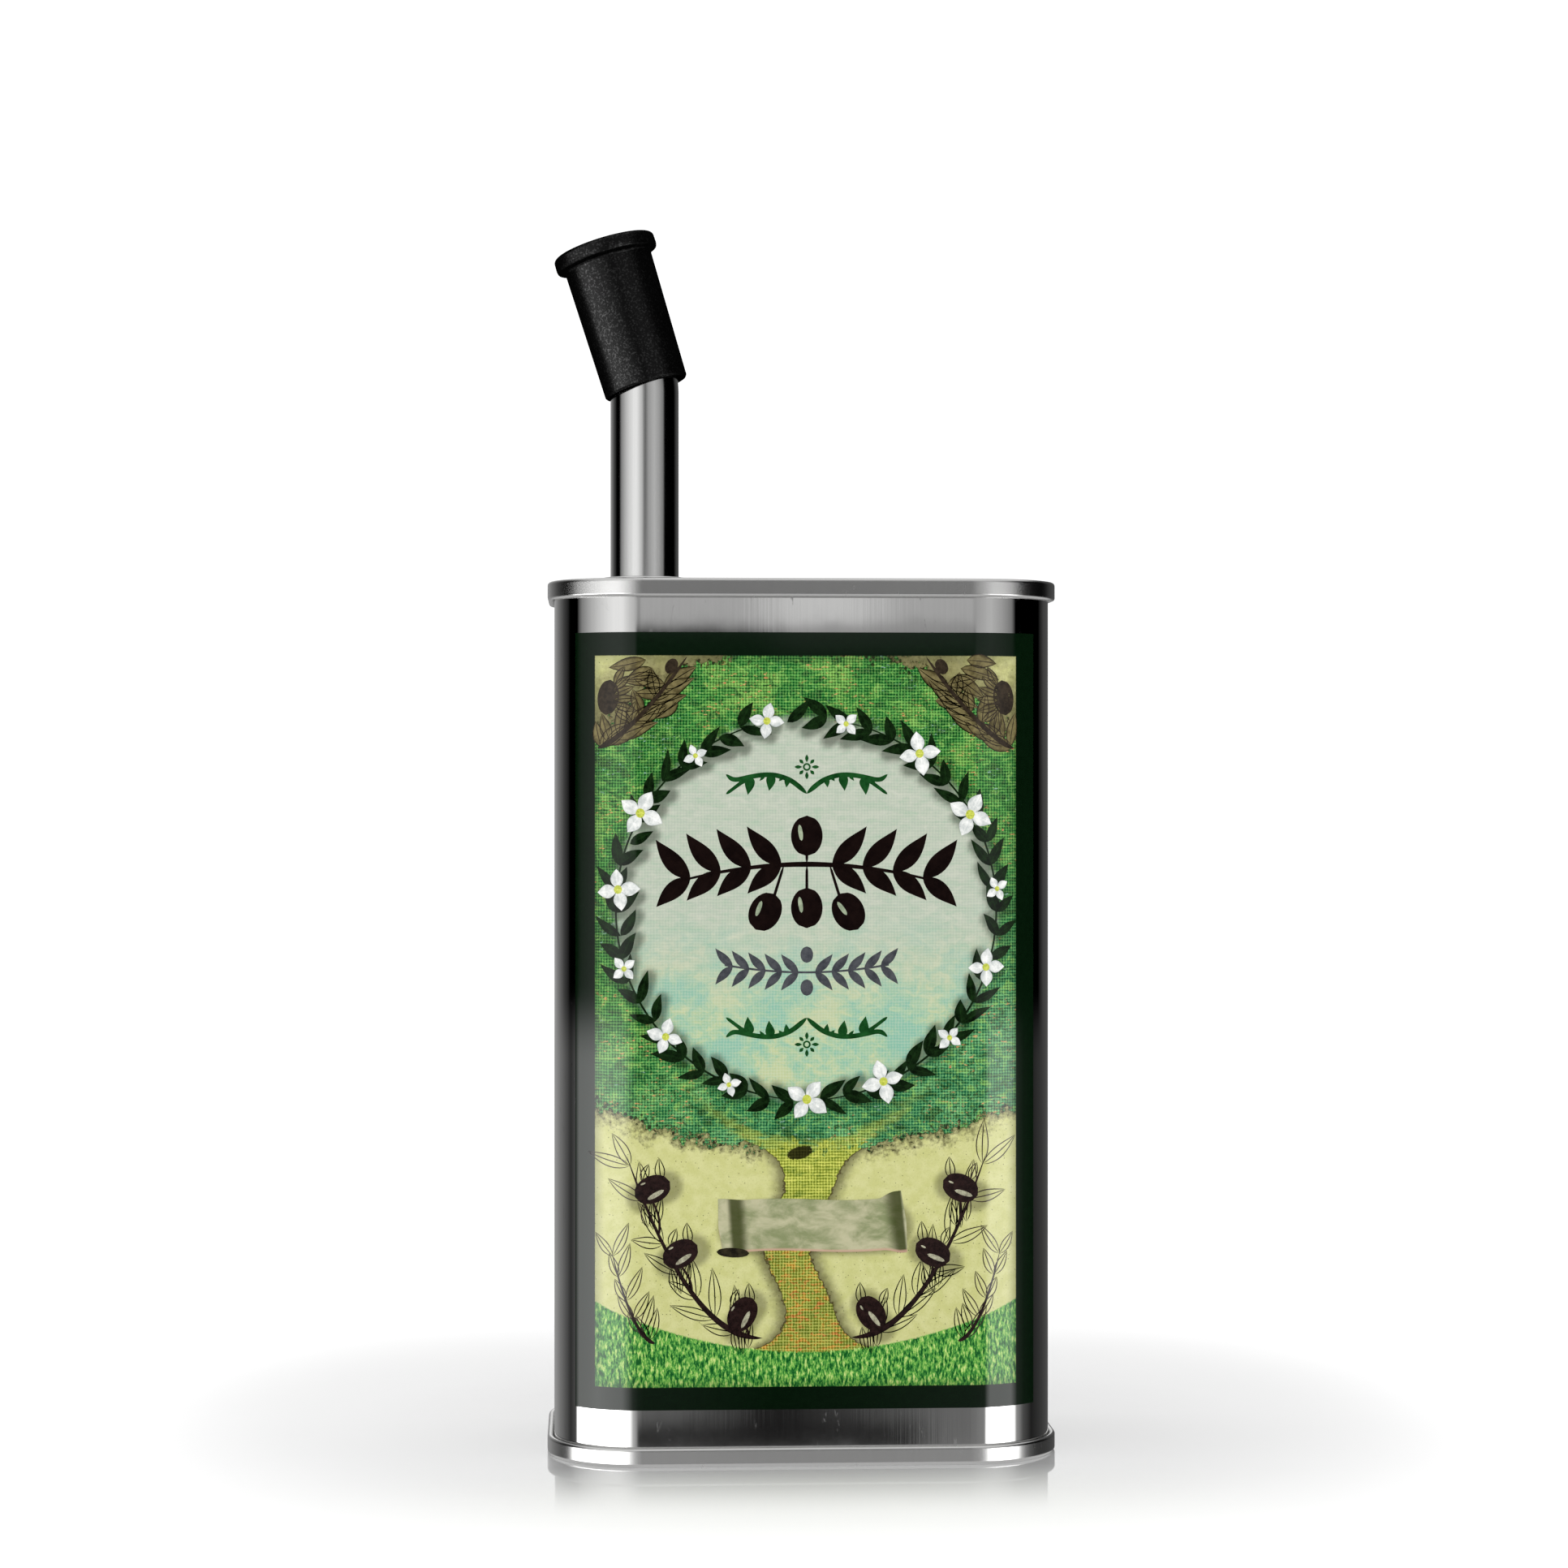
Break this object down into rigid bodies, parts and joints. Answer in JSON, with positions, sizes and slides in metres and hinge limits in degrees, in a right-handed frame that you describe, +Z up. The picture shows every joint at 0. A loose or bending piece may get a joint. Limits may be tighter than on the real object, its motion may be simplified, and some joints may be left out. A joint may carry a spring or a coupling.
{
  "type": "oil can",
  "caption": "Rounded-rectangle tinplate oil can with a printed front, seamed ends and an off-centre bent steel pouring spout that swivels in a push-in stopper under a black pull-off cap.",
  "frame": {"origin": "centre of the can's outline, on the surface that it stands on", "axes": "+Z up, +X across the front towards the right, -Y out of the printed front; the spout stands towards -X"},
  "size_m": [0.0822, 0.0502, 0.1987],
  "materials": {
    "tinplate": "bright rolled tinplate with fine upright streaks",
    "seam_compound": "cured lining compound, matt",
    "label_print": "printed film with a gloss varnish",
    "stopper_plastic": "moulded, satin",
    "bung_rubber": "moulded rubber, matt",
    "seal_rubber": "smooth rubber",
    "stainless_steel": "drawn bright, fine lengthwise lines",
    "cap_plastic": "soft black plastic with a fine grain",
    "liner_plastic": "closed-cell foam disc"
  },
  "bodies": {
    "can": {"can_body": "tinplate", "top_end": "tinplate", "bottom_end": "tinplate", "top_seam_seal": "seam_compound", "bottom_seam_seal": "seam_compound", "front_label": "label_print"},
    "stopper": {"pourer_collar": "stopper_plastic", "ribbed_bung": "bung_rubber", "spout_o_ring": "seal_rubber"},
    "spout": {"spout_tube": "stainless_steel", "air_tube": "stainless_steel", "stop_ring": "stainless_steel", "retaining_ring": "stainless_steel"},
    "cap": {"spout_cap": "cap_plastic", "cap_liner": "liner_plastic"}
  },
  "joints": [
    {"name": "stopper_lift", "type": "slide", "parent": "can", "child": "stopper", "axis": [0, 0, 1], "range_m": [0, 0.045]},
    {"name": "spout_swivel", "type": "hinge", "parent": "stopper", "child": "spout", "pos_m": [-0.0253, 0, 0.1324], "axis": [0, 0, 1], "continuous": true},
    {"name": "cap_pull", "type": "slide", "parent": "spout", "child": "cap", "axis": [-0.2901, 0.0617, 0.955], "range_m": [0, 0.03]}
  ]
}
